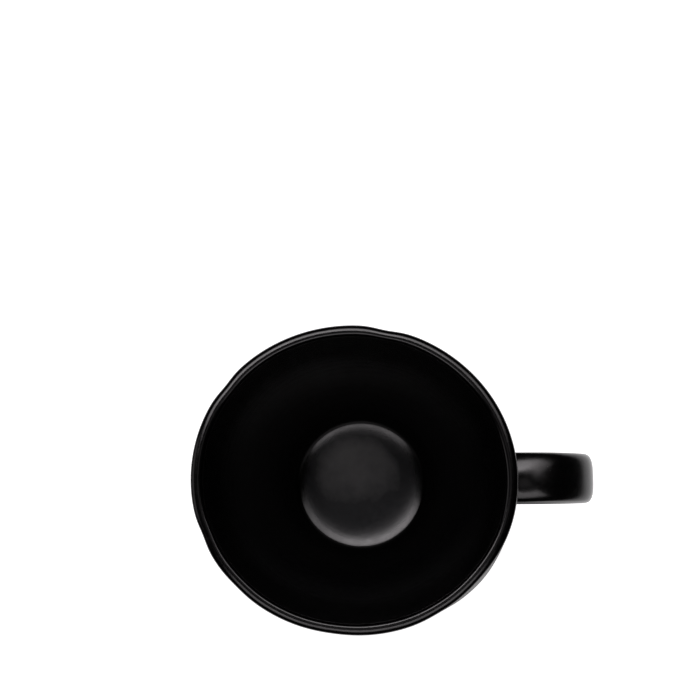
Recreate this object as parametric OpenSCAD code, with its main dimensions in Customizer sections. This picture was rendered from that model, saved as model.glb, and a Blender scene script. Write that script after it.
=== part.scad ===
// Hand-formed ceramic mug, in millimetres: an oval, softly dented cup on a turned foot ring, with a
// strap handle that is joined on with slip, and coats of glaze over all but the foot.
// +Z is up and the handle points along +X. The origin is the centre of the foot, where it stands.

/* [Cup] */
// Length of the rim along the handle's line, glaze included
rim_length = 98.7; // [92:0.1:104]
// Width of the rim across the handle's line, glaze included
rim_width = 93.3; // [88:0.1:98]
// Turn of the oval about the cup's axis, in degrees
oval_turn = -4; // [-10:1:10]
// Height of the mug, from foot to rim
height = 92; // [84:1:100]
// Width of the lip from its crest to the outside, glaze included
lip_outer = 2.2; // [1.6:0.1:2.6]
// Width of the lip from its crest to the inside, glaze included
lip_inner = 1.4; // [1.2:0.1:1.8]
// Rise of the rounded lip above the straight wall, glaze included
lip_rise = 1.6; // [1.2:0.1:2]
// Radius at which the outside would swell out flat above the foot
base_swell = 36.5; // [33:0.5:38]
// Thickness of the clay in the middle of the floor
floor_clay = 4.2; // [4:0.1:5]
// Radius inside at which the floor turns up into the wall
floor_edge = 21.5; // [20:0.1:23]
// Rise of the dished floor from its middle to that edge
floor_dish = 2.05; // [1.2:0.05:2.6]
// Slope at which the wall leaves the floor, in degrees
floor_turn = 44; // [38:1:50]
// Depth of every dent in the outside, as a share of its listed depth
dent_strength = 1; // [0:0.1:1.5]

/* [Foot ring] */
// Outer radius of the foot ring
foot_radius = 24.6; // [23:0.1:26]
// Width of the foot ring, from its recess to its outside
foot_width = 3.8; // [3:0.1:4.5]
// Depth of the recess under the floor
foot_recess = 2.5; // [2:0.1:3]
// Radius of the foot ring's sanded edges
foot_edge = 0.6; // [0.3:0.1:1]

/* [Handle] */
// Distance from the cup's axis to the outside of the handle, glaze included
handle_reach = 74.2; // [72:0.1:77]
// Width of the strap, glaze included
handle_width = 15.4; // [13:0.1:17]
// Distance of the handle's middle line to the side of the cup's axis
handle_shift = 0.95; // [0:0.05:1.5]
// Sideways lean of the strap where it leaves the wall, in degrees
handle_lean = 4.5; // [0:0.5:8]
// Rise of the strap's rounded outer face above its edge near the wall, in clay
root_crown = 2.5; // [2:0.1:4]
// The same at the far side
far_crown = 3.3; // [2.5:0.1:4.8]
// Depth of the strap's flatter inner face below its edge, in clay
strap_inside = 2.6; // [2.2:0.1:3.2]
// Height at which the top of the strap joins the wall
upper_root = 71.5; // [68:0.5:75]
// Height at which the bottom of the strap joins the wall
lower_root = 26; // [24:0.5:30]
// Thickness of the slip between the strap's ends and the wall
slip_layer = 0.5; // [0.3:0.1:0.8]
// Width of the slip's smoothed fillet around each end of the strap
slip_fillet = 0.9; // [0.7:0.1:2]

/* [Glaze] */
// Thickness of each coat of glaze
glaze = 0.3; // [0.2:0.05:0.4]

/* [Hidden] */

clay_colour = [0.66, 0.60, 0.52];
slip_colour = [0.60, 0.54, 0.46];
glaze_colour = [0.03, 0.03, 0.033];

// Each dent: [direction in degrees, depth, half-width in degrees, middle height, half-height].
// The first seven shape the rim's outline, the next swells out (its depth is below zero) under
// the lip, and the others are softer hollows lower on the wall.
dents = [[78, 0.60, 6, 90, 30], [144, 0.45, 5, 84, 26], [200, 0.42, 5, 88, 24],
         [222, 0.20, 6, 86, 26], [262, 0.20, 10, 84, 34], [302, 0.25, 7, 86, 30],
         [320, 0.70, 15, 92, 8], [321, -1.20, 20, 70, 14],
         [36, 0.45, 13, 44, 20], [108, 0.50, 14, 40, 18], [172, 0.50, 14, 46, 20],
         [240, 0.50, 15, 42, 18], [330, 0.45, 13, 38, 14]];
// Share of a dent that shows on the inside of the wall
inner_dent = 0.3;

around = 72;       // points round the cup
outer_steps = 12;  // steps up the outside of the wall
inner_steps = 11;  // steps up the inside of the wall
floor_steps = 4;   // steps over the floor's dish, the first of them flat
lip_steps = 4;     // steps over the lip
corner_pull = 15;  // how far the wall keeps to the slope at which it leaves the floor
glaze_step = 1;    // the step of the wall at which the outer glaze stops above the foot
strap_points = 20; // points round the strap
strap_steps = 14;  // steps along each half of the strap
fillet_steps = 4;  // steps along a slip fillet
root_power = 1.75; // squareness of the strap's section near the wall, where 2 is an ellipse
far_power = 3.2;    // the same at the far side
upper_place = 0.24; // where the upper fillet takes its section from, along the strap's top curve
lower_place = 0.84; // the same for the lower fillet, along the strap's bottom curve

floor_top = foot_recess + floor_clay;
rim_radius = (rim_length + rim_width) / 4;
rim_oval = (rim_length - rim_width) / (rim_length + rim_width);
crest_radius = rim_radius - lip_outer;
lip_height = height - lip_rise;
clay_outside = rim_radius - glaze;
clay_inside = crest_radius - lip_inner + glaze;

// Cubic curves through [radius, height], each from the base to the lip
foot_corner = [foot_radius - 0.4, foot_recess + 2.1];
outside = [foot_corner, [base_swell, foot_corner[1] + 1.4],
           [clay_outside, 0.38 * height], [clay_outside, lip_height]];
floor_corner = [floor_edge, floor_top + floor_dish];
inside = [floor_corner, floor_corner + corner_pull * [cos(floor_turn), sin(floor_turn)],
          [clay_inside, 0.46 * height], [clay_inside, lip_height]];

// Cubic curves as [x, height] along the strap's edge, from the wall to the far side and back
strap_side = handle_reach - glaze - far_crown;
strap_turn = [strap_side, (upper_root + lower_root) / 2 + 11];
strap_top = [[rim_radius - 8, upper_root], [rim_radius + 5.4, upper_root + 14],
             [strap_side, upper_root - 3], strap_turn];
strap_bottom = [strap_turn, [strap_side, lower_root + 16],
                [rim_radius + 13, lower_root - 1], [rim_radius - 14, lower_root]];

function curve(p, t) =
    pow(1 - t, 3) * p[0] + 3 * pow(1 - t, 2) * t * p[1]
    + 3 * (1 - t) * t * t * p[2] + t * t * t * p[3];
function heading(p, t) =
    let (d = pow(1 - t, 2) * (p[1] - p[0]) + 2 * t * (1 - t) * (p[2] - p[1]) + t * t * (p[3] - p[2]))
    d / norm(d);
function smooth(x) = let (c = min(max(x, 0), 1)) c * c * (3 - 2 * c);
function bell(x) = exp(-x * x);
function turn_between(a, b) = abs((a - b + 540) % 360 - 180);

function dent_at(a, z) = dent_strength * sum([for (d = dents)
    d[1] * bell(turn_between(a, d[0]) / d[2]) * bell((z - d[3]) / d[4])]);
function sum(list, i = 0) = i < len(list) ? list[i] + sum(list, i + 1) : 0;

// The cup's radius in direction a, for a profile point [radius, height, share of the dents]
function warped(p, a) =
    p[0] * (1 + rim_oval * smooth(1.3 * p[1] / height) * cos(2 * (a - oval_turn)))
    - p[2] * dent_at(a, p[1]);
function cup_ring(p) = [for (k = [0:around - 1])
    let (a = 360 * k / around, r = warped(p, a)) [r * cos(a), r * sin(a), p[1]]];

// The cup's faces, moved out from the clay by grow, as profile points. A face point q has heading u.
function outer_point(q, u, grow) = [q[0] + grow * u[1], q[1] - grow * u[0], 1];
function inner_point(q, u, grow) = [q[0] - grow * u[1], q[1] + grow * u[0], inner_dent];
function outer_face(grow, first = 0) = [for (i = [first:outer_steps]) let (t = i / outer_steps)
    outer_point(curve(outside, t), heading(outside, t), grow)];
function inner_face(grow) = concat(
    [for (i = [inner_steps:-1:1]) let (t = i / inner_steps)
        inner_point(curve(inside, t), heading(inside, t), grow)],
    [let (u = floor_heading(1), middle = u + heading(inside, 0))
        inner_point(floor_corner, middle / (middle * u), grow)],
    [for (i = [floor_steps - 1:-1:1]) let (share = pow(i / floor_steps, 0.6))
        inner_point(floor_point(share), floor_heading(share), grow)]);

// The floor's dish, at a share of its radius
function floor_point(share) =
    [floor_edge * share, floor_top + floor_dish * (0.4 * pow(share, 2) + 0.6 * pow(share, 5))];
function floor_heading(share) =
    let (d = [floor_edge, floor_dish * (0.8 * share + 3 * pow(share, 4))]) d / norm(d);
function lip_face(grow, from, to) = [for (j = [from:to])
    let (b = 180 * j / lip_steps, half = j * 2 > lip_steps ? lip_inner : lip_outer)
    [crest_radius + (half - glaze + grow) * cos(b), lip_height + (lip_rise - glaze + grow) * sin(b),
     1 - (1 - inner_dent) * j / lip_steps]];
function reversed(list) = [for (i = [len(list) - 1:-1:0]) list[i]];

// A solid through a list of rings, with a flat cap at each end
module loft(rings) {
    n = len(rings[0]);
    last = len(rings) - 1;
    polyhedron(
        points = [for (r = rings) each r],
        faces = concat(
            [[for (k = [0:n - 1]) k]],
            skin_faces(last, n, last + 1),
            [[for (k = [n - 1:-1:0]) last * n + k]]));
}

// A solid through a list of rings that comes back to the first one
module loop(rings) {
    n = len(rings[0]);
    polyhedron(points = [for (r = rings) each r], faces = skin_faces(len(rings), n, len(rings)));
}

function skin_faces(bands, n, rings) = [for (i = [0:bands - 1]) for (k = [0:n - 1])
    let (a = i * n + k, b = i * n + (k + 1) % n, j = (i + 1) % rings, c = j * n + (k + 1) % n, d = j * n + k)
    each [[a, d, c], [a, c, b]]];

function cup_rings(profile) = [for (p = profile) cup_ring(p)];

// A wedge of the cup's outside behind the handle, filled to near the axis and moved out by grow
module wall_behind(grow) {
    loft([for (p = outer_face(grow)) concat([[10, 0, p[1]]],
        [for (k = [-5:5]) let (a = 360 * k / around, r = warped(p, a)) [r * cos(a), r * sin(a), p[1]]])]);
}

// The height curve's step at which the outside reaches height z
function outside_step(z, lo = 0, hi = 1, tries = 20) = let (mid = (lo + hi) / 2)
    tries == 0 ? mid
    : curve(outside, mid)[1] < z ? outside_step(z, mid, hi, tries - 1)
    : outside_step(z, lo, mid, tries - 1);
function outside_gap(q) = let (r = curve(outside, outside_step(q[2]))[0])
    norm([q[0], q[1]]) - warped([r, q[2], 1], atan2(q[1], q[0]));

// The strap's section: [across, out], with a crowned outer face and a flatter inner face. Towards
// the far side, as the share goes from 0 to 1, it grows squarer and most of its lean is lost.
function section(a, grow, share) =
    let (power = 2 / (root_power + (far_power - root_power) * share), c = cos(a), s = sin(a),
         crown = root_crown + (far_crown - root_crown) * share,
         across = (handle_width / 2 - glaze + grow) * sign(c) * pow(abs(c), power),
         out = ((s > 0 ? crown : strap_inside) + grow) * sign(s) * pow(abs(s), power),
         lean = handle_lean * (1 - 0.8 * share))
    [across * cos(lean) + out * sin(lean), out * cos(lean) - across * sin(lean)];
function far_share(p, t) = p == strap_top ? smooth(3 * (t - upper_place)) : 1;
function strap_point(p, t, a, grow) =
    let (q = curve(p, t), u = heading(p, t), f = section(a, grow, far_share(p, t)))
    [q[0] - u[1] * f[1], handle_shift + f[0], q[1] + u[0] * f[1]];
function strap_ring(p, t, grow) =
    [for (k = [0:strap_points - 1]) strap_point(p, t, 360 * k / strap_points, grow)];

module strap(grow) {
    loft(concat(
        [for (i = [0:strap_steps]) strap_ring(strap_top, i / strap_steps, grow)],
        [for (i = [1:strap_steps]) strap_ring(strap_bottom, i / strap_steps, grow)]));
}

// How far a point of the strap's end goes along way before it meets the wall
function reach_wall(q, way, lo = 0, hi = 30, tries = 20) = let (mid = (lo + hi) / 2)
    tries == 0 ? mid
    : outside_gap(q + mid * way) > 0 ? reach_wall(q, way, mid, hi, tries - 1)
    : reach_wall(q, way, lo, mid, tries - 1);

// A solid that flares from the strap's section to the wall, along a quarter-round fillet.
// p and t place its section on the strap, and toward is 1 where the wall lies ahead along the curve.
module flare(p, t, toward, grow) {
    u = heading(p, t);
    way = toward * [u[0], 0, u[1]];
    sunk = 0.15;  // how far its first rings lie inside the strap
    behind = 2.5; // how far it goes on behind the wall's face
    // Each step: [distance out from the wall, growth of the section]
    steps = concat([[slip_fillet * 2, -sunk]],
        [for (j = [0:fillet_steps]) let (b = 90 * (1 - j / fillet_steps))
            [slip_fillet * (1 - cos(b)), slip_fillet * (1 - sin(b)) - sunk * b / 90]],
        [[-behind, slip_fillet]]);
    rings = [for (s = steps) [for (k = [0:strap_points - 1])
        let (q = strap_point(p, t, 360 * k / strap_points, s[1] + grow))
        q + (reach_wall(q, way) - s[0]) * way]];
    loft(toward > 0 ? rings : reversed(rings));
}

module upper_flare(grow) { flare(strap_top, upper_place, -1, grow); }
module lower_flare(grow) { flare(strap_bottom, lower_place, 1, grow); }

module foot_ring() {
    edge = [for (b = [0:15:90]) foot_edge * [sin(b), 1 - cos(b)]];
    top = foot_corner[1] + 0.9;
    inner = foot_radius - foot_width;
    rotate_extrude($fn = 96) polygon(concat(
        [for (e = edge) [foot_radius - foot_edge + e[0], e[1]]],
        [[foot_radius, foot_corner[1] - 0.3], [foot_radius - 1.2, top], [inner, top]],
        [for (e = reversed(edge)) [inner + foot_edge - e[0], e[1]]]));
}

module cup_body() {
    color(clay_colour) union() {
        loft(cup_rings(concat([[foot_radius - foot_width / 2, foot_recess, 0]],
            outer_face(0), lip_face(0, 1, lip_steps - 1), inner_face(0))));
        foot_ring();
    }
}

module handle() {
    color(clay_colour) difference() {
        strap(0);
        wall_behind(slip_layer);
    }
}

module upper_slip_joint() {
    color(slip_colour) difference() {
        upper_flare(0);
        wall_behind(0);
        handle();
    }
}

module lower_slip_joint() {
    color(slip_colour) difference() {
        lower_flare(0);
        wall_behind(0);
        handle();
    }
}

module liner_glaze() {
    color(glaze_colour) loft(cup_rings(concat(
        reversed(concat(lip_face(0, lip_steps / 2, lip_steps - 1), inner_face(0))),
        lip_face(glaze, lip_steps / 2, lip_steps - 1), inner_face(glaze))));
}

module wall_glaze() {
    color(glaze_colour) difference() {
        loop(cup_rings(concat(
            outer_face(glaze, glaze_step), lip_face(glaze, 1, lip_steps / 2),
            reversed(lip_face(0, 1, lip_steps / 2)), reversed(outer_face(0, glaze_step)))));
        upper_flare(0);
        lower_flare(0);
    }
}

module handle_glaze() {
    color(glaze_colour) difference() {
        union() {
            strap(glaze);
            upper_flare(glaze);
            lower_flare(glaze);
        }
        wall_behind(glaze);
        strap(0);
        upper_flare(0);
        lower_flare(0);
    }
}

module base_glaze() {
    edge = foot_radius - foot_width;
    color(glaze_colour) rotate_extrude($fn = 96) polygon([[0, foot_recess], [edge, foot_recess],
        [edge, foot_recess - 1], [edge - 0.8 * glaze, foot_recess - 0.8],
        [edge - 1.6 * glaze, foot_recess - glaze], [0, foot_recess - glaze]]);
}

cup_body();
handle();
upper_slip_joint();
lower_slip_joint();
liner_glaze();
wall_glaze();
handle_glaze();
base_glaze();
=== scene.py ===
"""A hand-formed, satin black ceramic mug: fine meshes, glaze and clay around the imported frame."""

import math

import bpy
import numpy as np
from mathutils import Matrix, Vector


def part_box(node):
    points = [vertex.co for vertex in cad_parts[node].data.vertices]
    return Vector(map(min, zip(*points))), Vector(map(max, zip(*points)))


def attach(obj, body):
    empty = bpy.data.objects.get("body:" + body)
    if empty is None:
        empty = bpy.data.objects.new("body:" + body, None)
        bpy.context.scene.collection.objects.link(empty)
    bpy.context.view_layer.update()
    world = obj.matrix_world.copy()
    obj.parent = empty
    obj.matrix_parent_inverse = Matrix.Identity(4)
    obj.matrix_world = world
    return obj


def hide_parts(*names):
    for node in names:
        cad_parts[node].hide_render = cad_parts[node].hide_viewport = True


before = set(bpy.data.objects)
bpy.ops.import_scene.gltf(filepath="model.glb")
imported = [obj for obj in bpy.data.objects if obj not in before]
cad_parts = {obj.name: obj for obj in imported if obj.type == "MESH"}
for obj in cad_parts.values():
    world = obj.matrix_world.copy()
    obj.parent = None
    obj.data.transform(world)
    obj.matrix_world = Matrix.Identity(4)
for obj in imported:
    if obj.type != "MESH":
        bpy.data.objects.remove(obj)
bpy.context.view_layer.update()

MM = 0.001


def node_box(node):
    """The lowest and highest corners of a CAD node, in millimetres."""
    low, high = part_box(node)
    return Vector(low) / MM, Vector(high) / MM


# ---------------------------------------------------------------- sizes, in millimetres
HEIGHT = node_box("wall_glaze")[1].z
GLAZE = HEIGHT - node_box("cup_body")[1].z
OVAL_TURN = -4.0
RIM_LENGTH, RIM_WIDTH = 98.7, 93.3
RIM_RADIUS = (RIM_LENGTH + RIM_WIDTH) / 4
RIM_OVAL = (RIM_LENGTH - RIM_WIDTH) / (RIM_LENGTH + RIM_WIDTH)

LIP_OUTER, LIP_INNER, LIP_RISE = 2.2, 1.4, 1.6  # outside its crest, inside it, and its height
LIP_HEIGHT = HEIGHT - LIP_RISE
CREST_RADIUS = RIM_RADIUS - LIP_OUTER
CLAY_OUTSIDE = RIM_RADIUS - GLAZE
CLAY_INSIDE = CREST_RADIUS - LIP_INNER + GLAZE

FOOT_RADIUS = 24.6
FOOT_INNER = node_box("base_glaze")[1].x
FOOT_EDGE = 0.6
RECESS = node_box("base_glaze")[1].z
FLOOR_TOP = 6.7
FLOOR_EDGE = 21.5
FLOOR_DISH = 2.05
FLOOR_TURN = math.radians(44)  # the slope at which the wall leaves the floor
CORNER_PULL = 15               # how far the wall keeps to that slope

HANDLE_REACH = node_box("handle_glaze")[1].x
STRAP_HALF = 7.4
STRAP_SHIFT = 0.95
STRAP_LEAN = 4.5
# How far the strap stands off its edge line: outward by the wall, outward at the far side, and inward
ROOT_CROWN, FAR_CROWN, STRAP_INSIDE = 2.5, 3.3, 2.6
# The shape of its section by the wall and at the far side: 2 is an ellipse, and more is squarer
ROOT_POWER, FAR_POWER = 1.75, 3.2
UPPER_ROOT, LOWER_ROOT = 71.5, 26.0
SLIP, FILLET = 0.5, 0.9

# Cubic curves, as radius and height, up the outside and the inside of the clay wall
FOOT_CORNER = (FOOT_RADIUS - 0.4, RECESS + 2.1)
OUTSIDE = np.array([FOOT_CORNER, (36.5, FOOT_CORNER[1] + 1.4),
                    (CLAY_OUTSIDE, 0.38 * HEIGHT), (CLAY_OUTSIDE, LIP_HEIGHT)])
FLOOR_CORNER = (FLOOR_EDGE, FLOOR_TOP + FLOOR_DISH)
LEAVING_FLOOR = (FLOOR_EDGE + CORNER_PULL * math.cos(FLOOR_TURN),
                 FLOOR_CORNER[1] + CORNER_PULL * math.sin(FLOOR_TURN))
INSIDE = np.array([FLOOR_CORNER, LEAVING_FLOOR, (CLAY_INSIDE, 0.46 * HEIGHT), (CLAY_INSIDE, LIP_HEIGHT)])

# Cubic curves, as x and height, along the strap's edge line from the wall to the far side and back
STRAP_SIDE = HANDLE_REACH - GLAZE - FAR_CROWN
STRAP_TURN = (STRAP_SIDE, (UPPER_ROOT + LOWER_ROOT) / 2 + 11)
STRAP_TOP = np.array([(RIM_RADIUS - 8, UPPER_ROOT), (RIM_RADIUS + 5.4, UPPER_ROOT + 14),
                      (STRAP_SIDE, UPPER_ROOT - 3), STRAP_TURN])
STRAP_BOTTOM = np.array([STRAP_TURN, (STRAP_SIDE, LOWER_ROOT + 16),
                         (RIM_RADIUS + 13, LOWER_ROOT - 1), (RIM_RADIUS - 14, LOWER_ROOT)])

# Each dent: direction in degrees, depth, half-width in degrees, middle height, half-height.
DENTS = [(78, 0.60, 6, 90, 30), (144, 0.45, 5, 84, 26), (200, 0.42, 5, 88, 24),
         (222, 0.20, 6, 86, 26), (262, 0.20, 10, 84, 34), (302, 0.25, 7, 86, 30),
         (320, 0.70, 15, 92, 8), (321, -1.20, 20, 70, 14),
         (36, 0.45, 13, 44, 20), (108, 0.50, 14, 40, 18), (172, 0.50, 14, 46, 20),
         (240, 0.50, 15, 42, 18), (330, 0.45, 13, 38, 14)]
INNER_DENT = 0.3

AROUND = 264        # points round the cup
WALL_ROWS = 96      # rows up each face of the wall
FLOOR_ROWS = 30     # rows over the floor's dish
LIP_ROWS = 28       # rows over the lip
STRAP_POINTS = 96   # points round the strap
STRAP_ROWS = 56     # rows along each half of the strap
FILLET_ROWS = 14    # rows along each fillet
HIDDEN_STEP = 3     # of the coat's hidden rows against the clay, one in this many is kept
ALL_ROUND = 360 * np.arange(AROUND) / AROUND


# ---------------------------------------------------------------- shapes
def cubic(p, t):
    """Points along a cubic curve."""
    t = np.asarray(t, float)[..., None]
    return (1 - t) ** 3 * p[0] + 3 * (1 - t) ** 2 * t * p[1] + 3 * (1 - t) * t ** 2 * p[2] + t ** 3 * p[3]


def heading(p, t):
    """The curve's directions, of length 1."""
    t = np.asarray(t, float)[..., None]
    d = (1 - t) ** 2 * (p[1] - p[0]) + 2 * t * (1 - t) * (p[2] - p[1]) + t ** 2 * (p[3] - p[2])
    return d / np.linalg.norm(d, axis=-1, keepdims=True)


def smooth(x):
    """A soft step from 0 to 1."""
    x = np.clip(x, 0, 1)
    return x * x * (3 - 2 * x)


def dent_depth(angle, z):
    """How far the dents push the wall in, for angles in degrees."""
    total = 0
    for direction, depth, half_width, middle, half_height in DENTS:
        turn = np.abs((angle - direction + 540) % 360 - 180) / half_width
        total = total + depth * np.exp(-turn ** 2) * np.exp(-((z - middle) / half_height) ** 2)
    return total


def hand_waviness(angle, z):
    """The slight unevenness that hand forming leaves, in millimetres."""
    a = np.radians(angle)
    slow = 0.10 * np.sin(3 * a + 0.045 * z + 0.7) + 0.07 * np.sin(5 * a - 0.07 * z + 2.1)
    quick = 0.035 * np.sin(9 * a + 0.16 * z + 1.3) + 0.02 * np.sin(14 * a - 0.21 * z)
    rings = 0.03 * np.sin(1.45 * z + 1.2 * np.sin(a + 0.4))
    return slow * smooth(z / 30) + quick * smooth(z / 30) + rings


def warped(radius, z, share, angle):
    """The cup's radius in a direction, with its oval, its dents and its unevenness."""
    oval = 1 + RIM_OVAL * smooth(1.3 * z / HEIGHT) * np.cos(2 * np.radians(angle - OVAL_TURN))
    rippled = hand_waviness(angle, z) * smooth((HEIGHT + 2 - z) / 14) * smooth(radius / 24)
    return radius * oval - share * dent_depth(angle, z) + 0.6 * share * rippled


def flat_ring(radius, angle, z):
    """A level ring of points round the cup's axis."""
    a = np.radians(angle)
    return np.stack([radius * np.cos(a), radius * np.sin(a), np.full(AROUND, z)], axis=1)


def cup_ring(point):
    """A profile point carried round the warped cup."""
    radius, z, share = point
    return flat_ring(warped(radius, z, share, ALL_ROUND), ALL_ROUND, z)


def outer_face(grow, first=0.0):
    """Profile points (radius, z, share of dents) up the outside, moved out from the clay."""
    t = np.linspace(first, 1, WALL_ROWS)
    return [(q[0] + grow * u[1], q[1] - grow * u[0], 1.0)
            for q, u in zip(cubic(OUTSIDE, t), heading(OUTSIDE, t))]


def inner_face(grow):
    """The same from the lip down the inside, round the floor's soft corner and over its dish."""
    radius = FLOOR_EDGE * np.linspace(0.04, 0.965, FLOOR_ROWS)
    share = radius / FLOOR_EDGE
    dish = np.stack([radius, FLOOR_TOP + FLOOR_DISH * (0.4 * share ** 2 + 0.6 * share ** 5)], axis=1)
    wall = cubic(INSIDE, np.linspace(0.03, 1, WALL_ROWS))
    turn = np.linspace(0, 1, 10)[1:-1, None]
    corner = (1 - turn) ** 2 * dish[-1] + 2 * turn * (1 - turn) * INSIDE[0] + turn ** 2 * wall[0]
    line = np.concatenate([dish, corner, wall])
    way = np.gradient(line, axis=0)
    way = way / np.linalg.norm(way, axis=1, keepdims=True)
    moved = line + grow * np.stack([-way[:, 1], way[:, 0]], axis=1)
    return [(r, z, INNER_DENT) for r, z in moved[::-1]]


def lip_face(grow):
    """The same over the lip, from the outside to the inside."""
    points = []
    for j in range(1, LIP_ROWS):
        turn = math.pi * j / LIP_ROWS
        half = LIP_INNER if 2 * j > LIP_ROWS else LIP_OUTER
        points.append((CREST_RADIUS + (half - GLAZE + grow) * math.cos(turn),
                       LIP_HEIGHT + (LIP_RISE - GLAZE + grow) * math.sin(turn),
                       1 - (1 - INNER_DENT) * j / LIP_ROWS))
    return points


def new_object(name, points, faces):
    """A smooth mesh object from points in millimetres."""
    mesh = bpy.data.meshes.new(name)
    mesh.from_pydata([tuple(MM * c for c in p) for p in points], [], faces)
    mesh.validate()
    mesh.polygons.foreach_set("use_smooth", [True] * len(mesh.polygons))
    mesh.update()
    piece = bpy.data.objects.new(name, mesh)
    bpy.context.scene.collection.objects.link(piece)
    return piece


def band_faces(count, rows, wrap):
    """Quads between rows of count points each, and from the last row to the first if it wraps."""
    faces = []
    for i in range(rows if wrap else rows - 1):
        j = (i + 1) % rows
        for k in range(count):
            m = (k + 1) % count
            faces.append((i * count + k, i * count + m, j * count + m, j * count + k))
    return faces


def skin_between_poles(name, first, rings, last):
    """A closed mesh through rings of points, with one point at each end."""
    count, rows = len(rings[0]), len(rings)
    points = [p for ring in rings for p in ring] + [first, last]
    faces = band_faces(count, rows, wrap=False)
    start, end = len(points) - 2, len(points) - 1
    top = (rows - 1) * count
    for k in range(count):
        m = (k + 1) % count
        faces.append((start, m, k))
        faces.append((end, top + k, top + m))
    return new_object(name, points, faces)


def skin_loop(name, rings):
    """A closed mesh through rings of points that come back to the first ring."""
    points = [p for ring in rings for p in ring]
    return new_object(name, points, band_faces(len(rings[0]), len(rings), wrap=True))


# ---------------------------------------------------------------- the cup
def foot_profile():
    """The foot ring from the recess, down over its sanded edges and up to the wall."""
    corner = [(1 - math.cos(b), math.sin(b)) for b in np.linspace(0, math.pi / 2, 9)]
    points = [(FOOT_INNER * k / 12, RECESS, 0.0) for k in range(1, 12)]
    points += [(FOOT_INNER - 0.5, RECESS, 0.0), (FOOT_INNER - 0.15, RECESS - 0.12, 0.0),
               (FOOT_INNER, RECESS - 0.5, 0.0)]
    points += [(FOOT_INNER, z, 0.0) for z in np.linspace(RECESS - 0.7, FOOT_EDGE + 0.1, 5)]
    points += [(FOOT_INNER + FOOT_EDGE * a, FOOT_EDGE * (1 - b), 0.0) for a, b in corner]
    flat = np.linspace(FOOT_INNER + FOOT_EDGE, FOOT_RADIUS - FOOT_EDGE, 8)[1:-1]
    points += [(r, 0.0, 0.0) for r in flat]
    points += [(FOOT_RADIUS - FOOT_EDGE * a, FOOT_EDGE * (1 - b), 0.0) for a, b in corner[::-1]]
    points += [(FOOT_RADIUS, z, 0.0) for z in np.linspace(FOOT_EDGE + 0.2, FOOT_CORNER[1] - 1.0, 8)]
    points += [(FOOT_RADIUS - 0.06, FOOT_CORNER[1] - 0.5, 0.0)]
    return points


def make_clay_cup():
    """The clay from the recess, over the foot ring, up the wall and down the inside."""
    profile = foot_profile() + outer_face(0) + lip_face(0) + inner_face(0)
    return skin_between_poles("clay_cup", (0, 0, RECESS), [cup_ring(p) for p in profile],
                              (0, 0, FLOOR_TOP))


GLAZE_LINE = 0.075  # where the outer glaze stops, as a share of the outer curve
BEAD_SWELL = 0.16   # how far the glaze's rolled edge stands out past the coat
BEAD_DROP = 0.42    # how far it hangs below the glaze line
BEAD_BLEND = 6      # rows above the bead that drift with it, less and less


def glaze_edge_drift(angle):
    """How the glaze's lower edge wanders, in millimetres along the wall."""
    a = np.radians(angle)
    return 0.28 * np.sin(2 * a + 0.6) + 0.16 * np.sin(5 * a + 1.9) + 0.09 * np.sin(11 * a)


def make_cup_coat():
    """The glaze over the wall, the lip and the inside, with a rolled edge above the foot."""
    shown = inner_face(GLAZE)[::-1] + lip_face(GLAZE)[::-1] + outer_face(GLAZE, GLAZE_LINE)[::-1]
    rows = [cup_ring(point) for point in shown]
    bead = []
    base = outer_face(0, GLAZE_LINE)[0]
    u = heading(OUTSIDE, [GLAZE_LINE])[0]
    for turn in np.linspace(0, 165, 9)[1:]:
        b = math.radians(turn)
        out = 0.5 * GLAZE * (1 + math.cos(b)) + BEAD_SWELL * math.sin(b)
        down = BEAD_DROP * (math.sin(b) if turn < 90 else 0.6 + 0.4 * math.sin(b))
        point = (base[0] + out * u[1] - down * u[0], base[1] - out * u[0] - down * u[1], 1.0)
        bead.append(cup_ring(point))
    drift = glaze_edge_drift(ALL_ROUND)[:, None] * np.array([0, 0, 1.0])
    for k, ring in enumerate(bead):
        bead[k] = ring + drift
    for back in range(1, BEAD_BLEND + 1):
        rows[-back] = rows[-back] + drift * (1 - (back - 1) / BEAD_BLEND)
    rows += bead
    against_clay = outer_face(0, GLAZE_LINE)[1:] + lip_face(0) + inner_face(0)
    rows += [cup_ring(point) for point in against_clay[::HIDDEN_STEP]]
    rows = [ring[::-1] for ring in rows]
    return skin_between_poles("cup_coat", (0, 0, FLOOR_TOP + GLAZE), rows, (0, 0, FLOOR_TOP))


def make_base_island():
    """The dab of glaze inside the foot ring, with a soft edge."""
    edge = FOOT_INNER - 0.9
    clay_side, open_side = RECESS - 0.25 * GLAZE, RECESS - GLAZE - 0.02
    a = np.radians(ALL_ROUND)
    rim = edge + 0.35 * np.sin(2 * a + 1.1) + 0.2 * np.sin(5 * a) + 0.08 * np.sin(13 * a + 0.5)
    under = [(k / 10, clay_side) for k in range(1, 10)]
    roll = [(1 - 0.02 * (1 - math.sin(b)), clay_side - 0.45 * GLAZE * (1 - math.cos(b)))
            for b in np.linspace(0, math.pi, 9)]
    over = [(k / 10, open_side) for k in range(9, 0, -1)]
    rings = [flat_ring(rim * share, ALL_ROUND, z)[::-1] for share, z in under + roll + over]
    return skin_between_poles("base_island", (0, 0, clay_side), rings, (0, 0, open_side))


# ---------------------------------------------------------------- the handle
section_angle = 2 * math.pi * np.arange(STRAP_POINTS) / STRAP_POINTS
ROOT_T = (0.24, 0.84)        # where each fillet takes its section from, along the two strap curves
WALL_SEARCH = (-6.0, 30.0)   # how far back and ahead of a point the wall is looked for
WALL_SEARCH_STEPS = 24       # times that this stretch is halved


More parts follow.
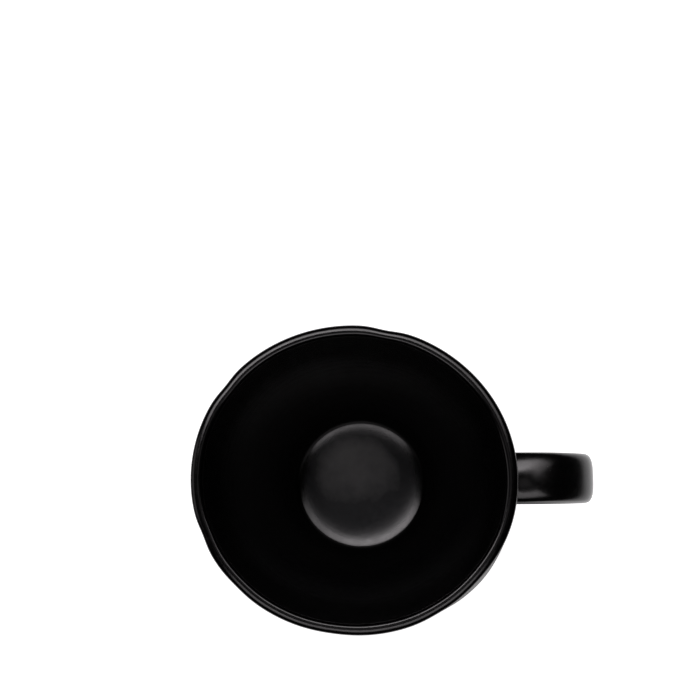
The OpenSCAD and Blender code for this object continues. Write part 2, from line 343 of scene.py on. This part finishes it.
def section(grow, share):
    """The strap's section, as distances across it and out from its edge line.

    Towards the far side, as the share goes from 0 to 1, it grows squarer and loses most of its lean.
    """
    c, s = np.cos(section_angle), np.sin(section_angle)
    power = 2 / (ROOT_POWER + (FAR_POWER - ROOT_POWER) * share)
    lean = math.radians(STRAP_LEAN * (1 - 0.8 * share))
    across = (STRAP_HALF + grow) * np.sign(c) * np.abs(c) ** power
    crown = ROOT_CROWN + (FAR_CROWN - ROOT_CROWN) * share
    out = (np.where(s > 0, crown, STRAP_INSIDE) + grow) * np.sign(s) * np.abs(s) ** power
    lean_c, lean_s = math.cos(lean), math.sin(lean)
    return across * lean_c + out * lean_s, out * lean_c - across * lean_s


def strap_ring(curve, t, grow):
    """The strap's section at a place on its curve."""
    q, u = cubic(curve, t), heading(curve, t)
    share = smooth(3 * (t - ROOT_T[0])) if curve is STRAP_TOP else 1.0
    across, out = section(grow, share)
    return np.stack([q[0] - u[1] * out, STRAP_SHIFT + across, q[1] + u[0] * out], axis=1)


def wall_gap(points, grow):
    """How far points stand out from the clay wall, or from the wall moved out by grow."""
    profile = np.array(outer_face(grow))
    radius = np.interp(points[:, 2], profile[:, 1], profile[:, 0])
    angle = np.degrees(np.arctan2(points[:, 1], points[:, 0]))
    return np.hypot(points[:, 0], points[:, 1]) - warped(radius, points[:, 2], 1.0, angle)


def onto_wall(points, way, grow):
    """The points moved along way, each until it meets the wall moved out by grow."""
    low, high = [np.full(len(points), reach) for reach in WALL_SEARCH]
    for _ in range(WALL_SEARCH_STEPS):
        middle = (low + high) / 2
        clear = wall_gap(points + middle[:, None] * way, grow) > 0
        low, high = np.where(clear, middle, low), np.where(clear, high, middle)
    return points + ((low + high) / 2)[:, None] * way


def strap_rings(grow):
    """The sections from the upper end to the lower one."""
    top = [strap_ring(STRAP_TOP, t, grow) for t in np.linspace(0, 1, STRAP_ROWS)]
    low = [strap_ring(STRAP_BOTTOM, t, grow) for t in np.linspace(0, 1, STRAP_ROWS)]
    return top + low[1:]


def clear_of_wall(rings, need):
    """The rings that stand at least the needed distance off the clay wall all round."""
    return [ring for ring in rings if wall_gap(ring, 0).min() > need]


def root(end):
    """An end of the strap: its curve, the place of its fillet and the way to the wall."""
    curve, t, toward = (STRAP_TOP, ROOT_T[0], -1) if end == "upper" else (STRAP_BOTTOM, ROOT_T[1], 1)
    u = heading(curve, t)
    return curve, t, toward * np.array([u[0], 0, u[1]])


def fillet_rings(end, grow):
    """Rings of a concave fillet, from the strap down to the wall."""
    curve, t, way = root(end)
    rings = []
    for b in np.linspace(math.pi / 2, 0, FILLET_ROWS):
        ring = strap_ring(curve, t, grow + FILLET * (1 - math.sin(b)))
        rings.append(onto_wall(ring, way, grow) - FILLET * (1 - math.cos(b)) * way)
    return rings


def end_ring(end):
    """The edge of the clay strap's end, which stands off the wall by the slip's thickness."""
    curve, t, way = root(end)
    return onto_wall(strap_ring(curve, t, 0), way, SLIP)


def make_clay_handle():
    """The clay strap, from its bed of slip at the upper end to the one at the lower end."""
    upper, lower = end_ring("upper"), end_ring("lower")
    rings = [upper] + clear_of_wall(strap_rings(0), FILLET) + [lower]
    return skin_between_poles("clay_handle", upper.mean(axis=0), rings, lower.mean(axis=0))


def make_slip(end):
    """The slip between an end of the strap and the wall, with its fillet."""
    bed = end_ring(end)
    fillet = fillet_rings(end, 0)
    rings = [bed] + fillet
    if end == "upper":
        rings = [ring[::-1] for ring in rings]
    foot = onto_wall(fillet[-1].mean(axis=0)[None], root(end)[2], 0)[0]
    return skin_between_poles(end + "_slip", bed.mean(axis=0), rings, foot)


def make_handle_coat():
    """The glaze over the strap and both fillets, as a tube with an inner and an outer face."""
    clear = 1.15 * FILLET
    outside, inside = [fillet_rings("upper", grow)[::-1] + clear_of_wall(strap_rings(grow), clear)
                       + fillet_rings("lower", grow) for grow in (GLAZE, 0)]
    return skin_loop("handle_coat", outside + inside[::-1])


# ---------------------------------------------------------------- materials
def shader(name):
    """A new material, its node tree and its Principled shader."""
    material = bpy.data.materials.new(name)
    material.use_nodes = True
    tree = material.node_tree
    return material, tree, tree.nodes["Principled BSDF"]


def add(tree, kind, inputs=None, **settings):
    """A new node. Each input is a value or another node's output."""
    node = tree.nodes.new(kind)
    for key, value in settings.items():
        setattr(node, key, value)
    for key, value in (inputs or {}).items():
        if isinstance(value, bpy.types.NodeSocket):
            tree.links.new(value, node.inputs[key])
        else:
            node.inputs[key].default_value = value
    return node


def maths(tree, operation, *values):
    """A Math node's result."""
    return add(tree, "ShaderNodeMath", dict(enumerate(values)), operation=operation).outputs[0]


def vector_maths(tree, operation, *values):
    """A Vector Math node's outputs."""
    return add(tree, "ShaderNodeVectorMath", dict(enumerate(values)), operation=operation).outputs


def from_axis(tree, where):
    """A place's X, Y and Z, its flat vector from the cup's axis, and the length of that."""
    split = add(tree, "ShaderNodeSeparateXYZ", {"Vector": where}).outputs
    flat = add(tree, "ShaderNodeCombineXYZ", {"X": split["X"], "Y": split["Y"]}).outputs[0]
    return split, flat, vector_maths(tree, "LENGTH", flat)["Value"]


def noise_field(tree, where, size, detail=3.0, roughness=0.5):
    """A noise with features of about the given size in millimetres."""
    return add(tree, "ShaderNodeTexNoise", {"Vector": where, "Scale": 1 / (size * MM),
               "Detail": detail, "Roughness": roughness}).outputs["Fac"]


def ramp(tree, factor, stops):
    """The factor's place among the stops, each a place with a colour or a grey."""
    node = add(tree, "ShaderNodeValToRGB", {"Fac": factor})
    points = node.color_ramp.elements
    while len(points) < len(stops):
        points.new(0.5)
    for point, (place, colour) in zip(points, stops):
        point.position = place
        point.color = (*colour, 1) if isinstance(colour, tuple) else (colour, colour, colour, 1)
    return node.outputs["Color"]


def spread(tree, factor, low, high, start=0.0, stop=1.0):
    """The factor between start and stop, spread over low to high."""
    return add(tree, "ShaderNodeMapRange", {"Value": factor, "From Min": start, "From Max": stop,
               "To Min": low, "To Max": high}).outputs["Result"]


def bump(tree, height, distance, strength, normal=None):
    """A normal raised by a height, over any normal given. The distance is in millimetres."""
    inputs = {"Height": height, "Distance": distance * MM, "Strength": strength}
    if normal is not None:
        inputs["Normal"] = normal
    return add(tree, "ShaderNodeBump", inputs).outputs["Normal"]


def mix(tree, factor, a, b):
    """Colour a for a factor of 0 and colour b for 1."""
    node = tree.nodes.new("ShaderNodeMix")
    node.data_type = "RGBA"
    for socket, value in ((0, factor), (6, a), (7, b)):
        if isinstance(value, bpy.types.NodeSocket):
            tree.links.new(value, node.inputs[socket])
        elif socket == 0:
            node.inputs[0].default_value = value
        else:
            node.inputs[socket].default_value = (*value, 1)
    return node.outputs[2]


def painted_floor_glow(tree, where, height, flat, radius):
    """The floor area, from 0 to 1, and a glow painted on it.

    The glow is a painted reflection of overhead light: palest to one side of the floor's middle, and it
    stops short of the floor's edge.
    """
    within = spread(tree, radius, 1.0, 0.0, (FLOOR_EDGE - 3.7) * MM, (FLOOR_EDGE - 1.0) * MM)
    over_foot = spread(tree, height, 0.0, 1.0, (FLOOR_TOP - 1) * MM, FLOOR_TOP * MM)
    beside = vector_maths(tree, "ADD", flat, (4.5 * MM, -9.3 * MM, 0))[0]
    oval = vector_maths(tree, "MULTIPLY", beside, (0.74, 1, 1))[0]
    ragged = spread(tree, noise_field(tree, where, 5, 3.0), -1.6 * MM, 1.6 * MM, 0.3, 0.7)
    reach = maths(tree, "ADD", vector_maths(tree, "LENGTH", oval)["Value"], ragged)
    fade = spread(tree, radius, 0.0, 9 * MM, 12.5 * MM, 18 * MM)
    place = spread(tree, maths(tree, "ADD", reach, fade), 0.0, 1.0, 2 * MM, 16 * MM)
    # painted reflection: a pale glow of overhead light, put into the floor's colour
    painted_glow = ramp(tree, place, [(0.0, (0.170, 0.168, 0.168)), (0.55, (0.090, 0.090, 0.091)),
                               (1.0, (0.018, 0.019, 0.021))])
    return maths(tree, "MULTIPLY", within, over_foot), painted_glow


def black_glaze():
    """A satin black glaze with fine specks and pits, rougher on the handle and on the floor, which has a
    painted glow.
    """
    material, tree, surface = shader("satin_black_glaze")
    where = add(tree, "ShaderNodeTexCoord").outputs["Object"]
    split, flat, radius = from_axis(tree, where)
    clouds = noise_field(tree, where, 14, 2.0)
    mottle = noise_field(tree, where, 1.1, 4.0, 0.6)
    crystals = noise_field(tree, where, 0.28, 2.0)
    peel = noise_field(tree, where, 2.2, 1.0)

    tint = ramp(tree, clouds, [(0.3, (0.0002, 0.0002, 0.0003)), (0.7, (0.0006, 0.0005, 0.0005))])
    speck = ramp(tree, noise_field(tree, where, 0.9, 2.0), [(0.70, 0.0), (0.76, 1.0)])
    colour = mix(tree, speck, tint, (0.004, 0.0033, 0.003))
    # painted reflection: a pale glow on the cup's floor stands in for overhead light mirrored there
    floor_glow_area, painted_glow = painted_floor_glow(tree, where, split["Z"], flat, radius)
    tree.links.new(mix(tree, floor_glow_area, colour, painted_glow), surface.inputs["Base Color"])

    rough = maths(tree, "ADD", spread(tree, clouds, 0.16, 0.19, 0.3, 0.7),
                  spread(tree, mottle, -0.035, 0.035, 0.3, 0.7))
    rough = maths(tree, "MULTIPLY_ADD", floor_glow_area, 0.05, rough)
    on_handle = spread(tree, split["X"], 0.0, 0.05, 48 * MM, 53 * MM)
    tree.links.new(maths(tree, "ADD", rough, on_handle), surface.inputs["Roughness"])

    pits = add(tree, "ShaderNodeTexVoronoi", {"Vector": where, "Scale": 1 / (2.6 * MM)})
    pit_depth = spread(tree, pits.outputs["Distance"], 0.0, 1.0, 0.02, 0.11)
    normal = bump(tree, peel, 0.012, 0.6)
    normal = bump(tree, pit_depth, 0.02, 0.35, normal)
    normal = bump(tree, crystals, 0.008, 0.6, normal)
    tree.links.new(normal, surface.inputs["Normal"])
    surface.inputs["IOR"].default_value = 1.5
    return material


def bare_clay():
    """Pale stoneware with darker grog, a sandy grain and fine turning grooves."""
    material, tree, surface = shader("bare_stoneware")
    where = add(tree, "ShaderNodeTexCoord").outputs["Object"]
    body = noise_field(tree, where, 6, 4.0, 0.6)
    grain = noise_field(tree, where, 0.45, 3.0, 0.6)
    grog = add(tree, "ShaderNodeTexVoronoi", {"Vector": where, "Scale": 1 / (1.1 * MM)})
    tint = ramp(tree, body, [(0.3, (0.47, 0.385, 0.29)), (0.7, (0.60, 0.515, 0.41))])
    dark = ramp(tree, grog.outputs["Distance"], [(0.10, 1.0), (0.20, 0.0)])
    colour = mix(tree, dark, tint, (0.23, 0.165, 0.12))
    colour = mix(tree, spread(tree, grain, 0.0, 0.35, 0.35, 0.75), colour, (0.70, 0.63, 0.54))
    tree.links.new(colour, surface.inputs["Base Color"])
    tree.links.new(spread(tree, grain, 0.74, 0.92, 0.3, 0.7), surface.inputs["Roughness"])
    split, _, radius = from_axis(tree, where)
    turned = maths(tree, "MULTIPLY", maths(tree, "ADD", radius, split["Z"]), 2 * math.pi / (0.5 * MM))
    grooves = maths(tree, "SINE", turned)
    normal = bump(tree, grooves, 0.02, 0.35)
    normal = bump(tree, grain, 0.05, 0.6, normal)
    normal = bump(tree, grog.outputs["Distance"], 0.06, 0.35, normal)
    tree.links.new(normal, surface.inputs["Normal"])
    return material


def joining_slip():
    """Smeared, slightly darker clay slip."""
    material, tree, surface = shader("joining_slip")
    where = add(tree, "ShaderNodeTexCoord").outputs["Object"]
    streaks = noise_field(tree, where, 2.5, 4.0, 0.6)
    tree.links.new(ramp(tree, streaks, [(0.3, (0.42, 0.34, 0.26)), (0.7, (0.55, 0.47, 0.37))]),
                   surface.inputs["Base Color"])
    tree.links.new(spread(tree, streaks, 0.7, 0.9), surface.inputs["Roughness"])
    tree.links.new(bump(tree, streaks, 0.1, 0.6), surface.inputs["Normal"])
    return material


FLOOR_HALF = 250  # half the width of the square floor, in millimetres


def pale_floor():
    """A white floor that has painted shade only where the glaze mirrors it: a painted shadow under the
    mug, and painted dimming far away.
    """
    material, tree, surface = shader("pale_floor")
    surface.inputs["Base Color"].default_value = (0.5, 0.5, 0.5, 1)
    surface.inputs["Roughness"].default_value = 0.9
    surface.inputs["Specular IOR Level"].default_value = 0.1
    surface.inputs["Emission Color"].default_value = (1, 1, 1, 1)
    in_glaze = add(tree, "ShaderNodeLightPath").outputs["Is Glossy Ray"]
    where = add(tree, "ShaderNodeTexCoord").outputs["Object"]
    radius = from_axis(tree, where)[2]
    # painted shadow: in the glaze's reflections the floor is darker under the mug and dimmer far away
    painted_shade_in_glaze = ramp(tree, spread(tree, radius, 0.0, 1.0, 0.0, FLOOR_HALF * MM),
                    [(0.24, 0.08), (0.30, 0.4), (0.40, 0.95), (0.60, 0.75), (0.80, 0.5), (1.0, 0.2)])
    tree.links.new(mix(tree, in_glaze, (0.95, 0.95, 0.95), painted_shade_in_glaze), surface.inputs["Emission Strength"])
    return material


# ---------------------------------------------------------------- putting the pieces on the frame
def finish_piece(piece, material, slot, *nodes):
    """The piece gets its material and is attached to the root, and the given CAD nodes are hidden."""
    piece.data.materials.append(material)
    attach(piece, "root")
    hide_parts(*nodes)


glaze, clay, slip = black_glaze(), bare_clay(), joining_slip()
finish_piece(make_clay_cup(), clay, "clay", "cup_body")
finish_piece(make_cup_coat(), glaze, "black_glaze", "wall_glaze", "liner_glaze")
finish_piece(make_handle_coat(), glaze, "black_glaze", "handle_glaze")
finish_piece(make_base_island(), glaze, "black_glaze", "base_glaze")
finish_piece(make_clay_handle(), clay, "clay", "handle")
finish_piece(make_slip("upper"), slip, "slip", "upper_slip_joint")
finish_piece(make_slip("lower"), slip, "slip", "lower_slip_joint")


# ---------------------------------------------------------------- studio
LIGHT_DISTANCE = 1.3  # metres from the mug to each soft box
LIGHT_COLOUR = (1.0, 0.95, 0.975)


def make_floor():
    """A square floor at the height of the foot."""
    points = [(FLOOR_HALF * x, FLOOR_HALF * y, 0) for x, y in ((-1, -1), (1, -1), (1, 1), (-1, 1))]
    floor = new_object("floor", points, [(0, 1, 2, 3)])
    floor.data.materials.append(pale_floor())


def soft_box(name, azimuth, from_vertical, size, radiance):
    """A rectangular soft box aimed at the mug. Azimuth runs from +X towards +Y."""
    a, b = math.radians(azimuth), math.radians(from_vertical)
    direction = Vector((math.cos(a) * math.sin(b), math.sin(a) * math.sin(b), math.cos(b)))
    aim = Vector((0, 0, 0.06))
    light = bpy.data.lights.new(name, "AREA")
    light.shape, light.size, light.size_y = "RECTANGLE", size[0], size[1]
    light.energy = radiance * math.pi * size[0] * size[1]
    light.color = LIGHT_COLOUR
    box = bpy.data.objects.new(name, light)
    box.location = aim + direction * LIGHT_DISTANCE
    box.rotation_mode = "QUATERNION"
    box.rotation_quaternion = direction.to_track_quat("Z", "Y")
    bpy.context.scene.collection.objects.link(box)


def make_lights():
    """Key boxes beyond the mug, dimmer at the ends of their arc, fills before it and two faint boxes."""
    keys = {33: 0.35, 52: 0.5, 71: 0.8, 90: 1.0, 109: 1.0, 128: 1.0, 147: 0.9}
    for place, (azimuth, share) in enumerate(keys.items()):
        soft_box("key_%d" % place, azimuth, 36, (0.29, 0.55), 3.9 * share)
    for place, azimuth in enumerate((-130, -110, -90, -70, -50)):
        soft_box("fill_%d" % place, azimuth, 38, (0.29, 0.54), 1.8)
    soft_box("side", 180, 66, (0.7, 0.7), 0.6)
    soft_box("overhead", -68, 5, (0.46, 0.40), 0.28)


def make_camera():
    """A view from almost straight above, with the mug in the lower half of the picture."""
    place, aim = Vector((19.9, -14.3, 742)) * MM, Vector((-1.15, 39.0, 92)) * MM
    back = (place - aim).normalized()
    right = Vector((0, 1, 0)).cross(back).normalized()
    up = back.cross(right)
    data = bpy.data.cameras.new("camera")
    data.sensor_width = 36
    data.lens = 111.25
    data.clip_start, data.clip_end = 0.01, 50
    camera = bpy.data.objects.new("camera", data)
    turn = Matrix((right, up, back)).transposed().to_4x4()
    camera.matrix_world = Matrix.Translation(place) @ turn
    bpy.context.scene.collection.objects.link(camera)
    bpy.context.scene.camera = camera


def make_world():
    """A white backdrop for the camera, in a room that is dark apart from the soft boxes."""
    world = bpy.data.worlds.new("studio")
    world.use_nodes = True
    tree = world.node_tree
    seen = add(tree, "ShaderNodeLightPath").outputs["Is Camera Ray"]
    tree.links.new(mix(tree, seen, (0.002, 0.002, 0.002), (1.0, 1.0, 1.0)),
                   tree.nodes["Background"].inputs["Color"])
    bpy.context.scene.world = world


make_floor()
make_lights()
make_world()
make_camera()
bpy.context.scene.view_settings.view_transform = "Standard"
